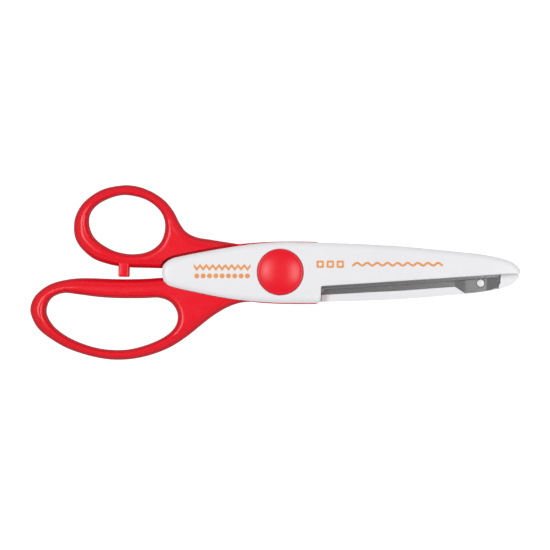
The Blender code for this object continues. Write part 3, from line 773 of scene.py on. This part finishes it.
def handle(rim_points, hole_points, inner, drop, tab=None):
    """A moulded handle: its round loop, arm and plate, less the room for the parts that it holds."""
    rim = smooth(rim_points)
    hole = even(smooth(hole_points, True), 0.6)
    hole_edge = np.vstack([hole, hole[:1]])
    outline = even(np.vstack([rim, inner]), 0.6)

    def upper(points):
        outer = quarter_round(distance(points, rim), LOOP_OUTER_ROUND)
        return LOOP_HALF_THICKNESS * outer * quarter_round(distance(points, hole_edge), LOOP_HOLE_ROUND)

    depths = rounding_depths((LOOP_HOLE_ROUND, LOOP_OUTER_ROUND), (9, 20, 31, 42, 53, 64, 76, 90))
    body = slab(outline, upper, lambda p: -upper(p), holes=[hole], insets=depths, spacing=0.9)
    cover_room = slab(even(grow(COVER, FIT), 0.7), TOOL_CLEAR, PLATE_TOP + 0.05)
    far_half_room = slab(even(grow(other_half(COVER), CLOSING_GAP), 0.7), FACE_GAP - 0.03, -TOOL_CLEAR)
    tang_pocket = slab(grow(tang_outline(), FIT), FACE_GAP + BLADE_THICKNESS + 0.1, TOOL_UNDER)
    added = [plate(drop), tab] if tab else [plate(drop)]
    removed = [cover_room, far_half_room, tang_pocket, bore_tool(), *rivet_tools()]
    return combined(body, *(("UNION", mesh) for mesh in added), *(("DIFFERENCE", mesh) for mesh in removed))


# Covers


def cover_height(points):
    """Height of the cover's face: slightly crowned, with rounded edges."""
    outer = distance(points, COVER_OUTER_EDGE)
    cut = distance(points, COVER_CUT_EDGE)
    crown = COVER_CROWN * (1 - ease(outer, 0, COVER_CROWN_WIDTH))
    rounding = COVER_ROUND_DEPTH * (1 - np.clip(outer / COVER_ROUND, 0, 1)) ** 2
    cut_rounding = COVER_CUT_ROUND * (1 - quarter_round(cut, COVER_CUT_ROUND))
    return COVER_TOP - crown - np.maximum(rounding, cut_rounding)


def blade_pocket():
    """Room for the steel under the cover, open along the cutting edge and round the tab."""
    start_x = COVER_SPAN_X - 0.5
    beyond = 12.0
    rim = [(x, blade_spine_y(x) + FIT) for x in (start_x, 20, 30, 40, 50, 57, RIM_END_X, TAB_START_X)]
    shoulder_x = TIP_POCKET_END - 0.5
    open_tab = [(TAB_START_X, beyond), (shoulder_x, beyond), (shoulder_x, spine_y(75) - 0.8)]
    end = [(TIP_POCKET_END, spine_y(75) - 1.6), (TIP_POCKET_END, cut_line(75) + 0.9)]
    mouth_x = BLADE_END_RADIUS + FIT
    mouth = [(mouth_x, cut_line(73) + 0.9), (mouth_x, -beyond), (start_x, -beyond)]
    return slab(np.array(rim + open_tab + end + mouth), BLADE_POCKET_TOP, TOOL_UNDER)


def cover():
    """A moulded cover: hollow over the plate and the steel, with a seat for its cap and a locating post."""
    depths = rounding_depths((COVER_CUT_ROUND, COVER_ROUND), (12, 25, 38, 52, 70, 90))
    depths += [2.0, 3.0, 4.0, COVER_CROWN_WIDTH]
    body = slab(even(COVER, 0.45), cover_height, RIM_BOTTOM, insets=depths, spacing=2.2, gap=0.12)
    plate_room = slab(box_outline(-60, -20, COVER_SPAN_X, 20), COVER_FLOOR, TOOL_UNDER)
    seat = [(0, TOOL_CLEAR), (CAP_RADIUS + FIT, TOOL_CLEAR), (CAP_RADIUS + FIT, CAP_SEAT)]
    seat += [(COVER_BORE_RADIUS, CAP_SEAT), (COVER_BORE_RADIUS, -TOOL_CLEAR), (0, -TOOL_CLEAR)]
    radius, foot, end = TAB_HOLE_RADIUS - FIT, BLADE_POCKET_TOP + 1, 0.9
    post = [(0, foot), (radius, foot), (radius, end + 0.25)]
    post += [(radius - 0.1, end + 0.07), (radius - 0.3, end), (0, end)]
    return combined(
        body,
        ("DIFFERENCE", plate_room),
        ("DIFFERENCE", blade_pocket()),
        ("DIFFERENCE", turned(seat, 96)),
        ("UNION", turned(post, 40, (TAB_HOLE_X, TAB_HOLE_Y))),
    )


# Blades


def blade_heights(x, r, from_edge, wave_sign):
    """Heights of the blade's inner and outer faces."""
    band = 1 - ease(from_edge, BAND_WIDTH, BAND_WIDTH + BAND_EDGE)
    wave = TOOTH_HEIGHT * math.sin(2 * math.pi * (r - TEETH_RADIUS) / TOOTH_PITCH)
    stations = [RIM_END_X, TAB_START_X, TAB_HOLE_X + 2, BLADE_END_RADIUS]
    rise = float(np.interp(x, stations, [0, TAB_RISE, TAB_RISE, TAB_END_RISE]))
    depth = np.clip((r - FLAT_RADIUS) / (RECESS_RADIUS - FLAT_RADIUS), 0, 1)
    set_back = depth * (1 - band) * (RECESS - rise)
    formed = ease(r, FLAT_RADIUS, TEETH_RADIUS)
    inner = FACE_GAP + formed * band * wave_sign * wave + set_back
    ground = formed * GROUND_DEPTH * (1 - min(from_edge / GROUND_WIDTH, 1))
    outer = FACE_GAP + set_back + BLADE_THICKNESS - ground
    return inner, max(outer, inner + EDGE_THICKNESS)


# Distances of the columns of points from the cutting edge, and then shares of the rest of the way
COLUMNS = [0, 0.15, 0.3, 0.7, 1.2, 1.6, 2.0, 2.12, 2.25, 2.38, 2.5]
SHARES = [0.25, 0.5, 0.75, 1.0]


def tang_row(low, high):
    """Points across the flat tang, each with the heights of its inner and outer faces."""
    width = math.dist(low, high)
    squeeze = min(1.0, 0.45 * width / COLUMNS[-1])
    near = COLUMNS[-1] * squeeze
    reaches = [column * squeeze for column in COLUMNS] + [near + (width - near) * share for share in SHARES]
    row = []
    for reach in reaches:
        x = low[0] + (high[0] - low[0]) * reach / width
        y = low[1] + (high[1] - low[1]) * reach / width
        row.append((x, y, FACE_GAP, FACE_GAP + BLADE_THICKNESS))
    return row


def arc_row(low, high, wave_sign):
    """Points across the toothed blade along an arc round the pivot, each with the heights of its faces."""
    r = (math.hypot(*low) + math.hypot(*high)) / 2
    start, end = math.atan2(low[1], low[0]), math.atan2(high[1], high[0])
    behind = (end - start) * r - COLUMNS[-1]
    row = []
    for arc in COLUMNS + [COLUMNS[-1] + behind * share for share in SHARES]:
        x, y = r * math.cos(start + arc / r), r * math.sin(start + arc / r)
        row.append((x, y, *blade_heights(x, r, arc, wave_sign)))
    return row


def sheet(rows):
    """A closed mesh from rows of points that each hold the heights of both faces."""
    table = np.array(rows)
    points = table.reshape(-1, 4)
    count = len(points)
    index = np.arange(count).reshape(table.shape[:2])
    quads = np.stack([index[:-1, :-1], index[1:, :-1], index[1:, 1:], index[:-1, 1:]], -1).reshape(-1, 4)
    ring = np.concatenate([index[0, :-1], index[:-1, -1], index[-1, :0:-1], index[:0:-1, 0]])
    ahead = np.roll(ring, -1)
    walls = np.stack([ring, ahead, ahead + count, ring + count], 1)
    verts = np.vstack([points[:, [0, 1, 2]], points[:, [0, 1, 3]]])
    mesh = bpy.data.meshes.new("sheet")
    mesh.from_pydata(verts.tolist(), [], np.vstack([quads, quads + count, walls]).tolist())
    work = bmesh.new()
    work.from_mesh(mesh)
    bmesh.ops.recalc_face_normals(work, faces=work.faces)
    work.to_mesh(mesh)
    work.free()
    return mesh


def blade(wave_sign):
    """A stamped blade with teeth in rings round the pivot along its cutting edge."""
    rows = [tang_row(low, high) for low, high in tang_ends()]
    rows += [arc_row(low, high, wave_sign) for low, high in arc_ends()]
    hole = slab(circle(TAB_HOLE_X, TAB_HOLE_Y, TAB_HOLE_RADIUS), TOOL_CLEAR, -TOOL_CLEAR)
    tools = [hole, bore_tool(), *rivet_tools()]
    return combined(sheet(rows), *(("DIFFERENCE", tool) for tool in tools))


# Pivot caps


def cap_skirt():
    """The underside of a cap: a rim in the cover's seat and a skirt in its bore."""
    outer, inner, bottom, roof = COVER_BORE_RADIUS - FIT, 4.95, 3.15, 4.1
    rim = [(CAP_RADIUS, CAP_UNDERSIDE), (outer, CAP_UNDERSIDE)]
    return rim + [(outer, bottom), (inner, bottom), (inner, roof), (0, roof)]


def domed_cap(crown):
    """The near cap: a crown that is flattest in its middle, a small step at its foot and a round edge."""
    edge_radius = 0.45
    foot = CAP_RADIUS - edge_radius - 0.2
    foot_height = COVER_TOP + 0.12
    dome = []
    for k in range(16):
        share = k / 15
        dome.append((foot * share, crown - (crown - foot_height) * share**2.3))
    edge = [(foot + 0.08, COVER_TOP + 0.02)]
    for degrees in (90, 70, 45, 20, 0):
        turn = math.radians(degrees)
        x = CAP_RADIUS - edge_radius * (1 - math.cos(turn))
        edge.append((x, COVER_TOP - edge_radius * (1 - math.sin(turn))))
    return turned(dome + edge + cap_skirt(), 96)


def flat_cap():
    """The far cap: flat and flush with its cover, with a shallow groove near its edge."""
    face, depth, middle, half_width, lead = COVER_TOP, 0.2, 5.6, 0.25, 0.2
    top = [(0, face), (middle - half_width - lead, face), (middle - half_width, face - 0.05)]
    for degrees in (135, 110, 70, 45):
        turn = math.radians(degrees)
        top.append((middle + half_width * math.cos(turn), face - depth * math.sin(turn)))
    top += [(middle + half_width, face - 0.05), (middle + half_width + lead, face)]
    edge = [(CAP_RADIUS - 0.4, face), (CAP_RADIUS - 0.12, face - 0.1), (CAP_RADIUS, face - 0.35)]
    return turned(top + edge + cap_skirt(), 96)


# Printed marks on the front cover

INK_LIFT = 0.03  # height of the ink above the cover
INK_DEPTH = 0.06
ROW_Y = 2.6  # of the wave and the stamps


def ink(outline, holes=()):
    """A flat mark of ink that follows the face of the cover."""

    def upper(points):
        return cover_height(points) + INK_LIFT

    return slab(outline, upper, lambda p: upper(p) - INK_DEPTH, holes)


def ribbon(path, width):
    """A line of ink along an open path."""
    p = np.array(path, float)
    ahead = np.gradient(p, axis=0)
    side = np.stack([-ahead[:, 1], ahead[:, 0]], 1) / np.linalg.norm(ahead, axis=1, keepdims=True)
    return ink(np.vstack([p + side * width / 2, (p - side * width / 2)[::-1]]))


def joined(meshes):
    """The meshes as one."""
    work = bmesh.new()
    for mesh in meshes:
        work.from_mesh(mesh)
        bpy.data.meshes.remove(mesh)
    made = bpy.data.meshes.new("joined")
    work.to_mesh(made)
    work.free()
    return made


def printed_wave():
    """The line that the blades cut, printed along the cover."""
    start_x, end_x, swing, width = 24.0, 54.3, 0.45, 0.72
    x = np.linspace(start_x, end_x, 240)
    y = ROW_Y + swing * np.sin(2 * math.pi * (x - start_x) / TOOTH_PITCH - math.pi / 2)
    return ribbon(np.stack([x, y], 1), width)


def scalloped_square(centre, side, notches, depth):
    """A square with its sides scalloped outwards, like a perforated stamp."""
    ring = []
    corners = [(-1, -1), (1, -1), (1, 1), (-1, 1)]
    samples = notches * 8
    for (ax, ay), (bx, by) in zip(corners, corners[1:] + corners[:1]):
        out = (by - ay) / 2, (ax - bx) / 2
        for k in range(samples):
            t = k / samples
            bulge = depth * abs(math.sin(math.pi * notches * t))
            x = (ax + (bx - ax) * t) * side / 2 + out[0] * bulge
            y = (ay + (by - ay) * t) * side / 2 + out[1] * bulge
            ring.append((centre[0] + x, centre[1] + y))
    return np.array(ring)


def printed_icons():
    """Three small stamps, drawn as scalloped frames, beside the wave."""
    side, half_hole = 2.1, 0.55
    marks = []
    for x in (13.35, 16.7, 20.05):
        hole = box_outline(x - half_hole, ROW_Y - half_hole, x + half_hole, ROW_Y + half_hole)
        marks.append(ink(scalloped_square((x, ROW_Y), side, 3, 0.28), [hole]))
    return joined(marks)


def printed_panel():
    """Two rows of plain pattern on the heel of the cover: a zigzag and a row of dots."""
    start_x, length, teeth = -28.9, 19.0, 9
    pitch = length / teeth
    low, high, thickness = 0.35, 1.65, 1.1
    dot_y, dot_radius = -1.3, 0.82
    under = np.array([(start_x + pitch * k / 2, low if k % 2 else high) for k in range(2 * teeth + 1)])
    marks = [ink(np.vstack([under, (under + (0, thickness))[::-1]]))]
    for k in range(teeth):
        marks.append(ink(circle(start_x + pitch * (k + 0.5), dot_y, dot_radius, 28)))
    return joined(marks)


# The room: floor, lights and camera


def soft_light(name, place):
    """A wide soft light that points at the pivot."""
    light = bpy.data.lights.new(name, "AREA")
    light.shape = "RECTANGLE"
    light.size, light.size_y = 0.38, 0.2
    light.energy = 2.35
    obj = bpy.data.objects.new(name, light)
    bpy.context.scene.collection.objects.link(obj)
    obj.location = place
    obj.rotation_euler = (-Vector(place)).to_track_quat("-Z", "Y").to_euler()


def floor_finish():
    """White where the camera sees it, and a dim grey where the object reflects it."""
    floor = Finish("white floor", (0.25, 0.25, 0.25), 0.9)
    floor.shader.inputs["Specular IOR Level"].default_value = 0.0
    floor.shader.inputs["Emission Color"].default_value = (1, 1, 1, 1)
    seen = floor.nodes.new("ShaderNodeLightPath")
    floor.links.new(seen.outputs["Is Camera Ray"], floor.shader.inputs["Emission Strength"])
    return floor.material


def sky_brightness(tree):
    """Brightest near the horizon, dim overhead and dark straight above the object.

    A height in the sky runs from 0 at the horizon to 1 straight above."""
    where = tree.nodes.new("ShaderNodeTexCoord")
    split = tree.nodes.new("ShaderNodeSeparateXYZ")
    fade = tree.nodes.new("ShaderNodeValToRGB")
    stops = fade.color_ramp.elements
    for height, brightness in ((0.1, 0.6), (0.75, 0.24), (0.9, 0.2), (0.97, 0.11)):
        stop = stops.new(height)
        stop.color = (brightness, brightness, brightness, 1)
    stops.remove(stops[0])
    stops.remove(stops[-1])
    tree.links.new(where.outputs["Generated"], split.inputs["Vector"])
    tree.links.new(split.outputs["Z"], fade.inputs["Fac"])
    tree.links.new(fade.outputs["Color"], tree.nodes["Background"].inputs["Strength"])


def make_room():
    """A white floor, a dim room and a soft light above each side."""
    work = bmesh.new()
    bmesh.ops.create_grid(work, x_segments=2, y_segments=2, size=1.2)
    mesh = bpy.data.meshes.new("floor")
    work.to_mesh(mesh)
    work.free()
    floor = bpy.data.objects.new("floor", mesh)
    just_under_the_object = -0.0002
    floor.location = (0, 0, just_under_the_object)
    mesh.materials.append(floor_finish())
    bpy.context.scene.collection.objects.link(floor)
    world = bpy.data.worlds.new("soft room")
    world.use_nodes = True
    world.node_tree.nodes["Background"].inputs["Color"].default_value = (1, 1, 1, 1)
    sky_brightness(world.node_tree)
    bpy.context.scene.world = world
    soft_light("left softbox", (-0.34, 0.05, 0.64))
    soft_light("right softbox", (0.36, 0.0, 0.64))


def make_camera():
    """A long lens straight above the object, with its view measured at the meeting plane."""
    view_width, centre_x, centre_y = 0.1848, -0.00175, -0.0010
    lens, sensor = 150.0, 36.0
    camera = bpy.data.cameras.new("camera")
    camera.lens = lens
    camera.sensor_width = sensor
    camera.clip_start = 0.01
    obj = bpy.data.objects.new("camera", camera)
    bpy.context.scene.collection.objects.link(obj)
    obj.location = (centre_x, centre_y, MEETING_PLANE * MM + view_width * lens / sensor)
    bpy.context.scene.camera = obj


def dress_hidden_nodes():
    """Finishes for the pivot parts and rivets, which keep their own shapes."""
    for name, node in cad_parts.items():
        if node.hide_render:
            continue
        finish = NYLON if name in ("pivot_bushing", "blade_spacer") else BRIGHT
        node.data.materials.clear()
        node.data.materials.append(finish)
        node.data.shade_smooth()
        node.data.set_sharp_from_angle(angle=math.radians(CREASE))


def make_half(half, body, prefix, handle_name, handle_mesh, wave_sign, cap_mesh):
    """The four moulded and stamped pieces of one half, which replace its nodes."""
    piece(f"{handle_name}_moulding", handle_mesh, half, body, RED, handle_name)
    piece(f"{prefix}_cover_shell", cover(), half, body, WHITE, f"{prefix}_cover")
    steel = blade(wave_sign)
    piece(f"{prefix}_blade_steel", steel, half, body, STEEL, f"{prefix}_blade", 24)
    cap_node = f"{prefix}_pivot_cap"
    piece(f"{cap_node}_moulding", cap_mesh, half, body, CAP_RED, cap_node)


make_half(
    FRONT, "front_half", "front", "finger_handle",
    handle(FINGER_RIM, FINGER_HOLE, FINGER_INNER, 0.35), 1, domed_cap(CAP_TOP),
)
make_half(
    REAR, "rear_half", "rear", "thumb_handle",
    handle(THUMB_RIM, THUMB_HOLE, THUMB_INNER, -0.1, stop_tab()), -1, flat_cap(),
)
for name, mark in (("wave", printed_wave()), ("icons", printed_icons()), ("panel", printed_panel())):
    piece(f"printed_{name}", mark, FRONT, "front_half", PRINT)
dress_hidden_nodes()
make_room()
make_camera()
bpy.context.scene.view_settings.view_transform = "Standard"
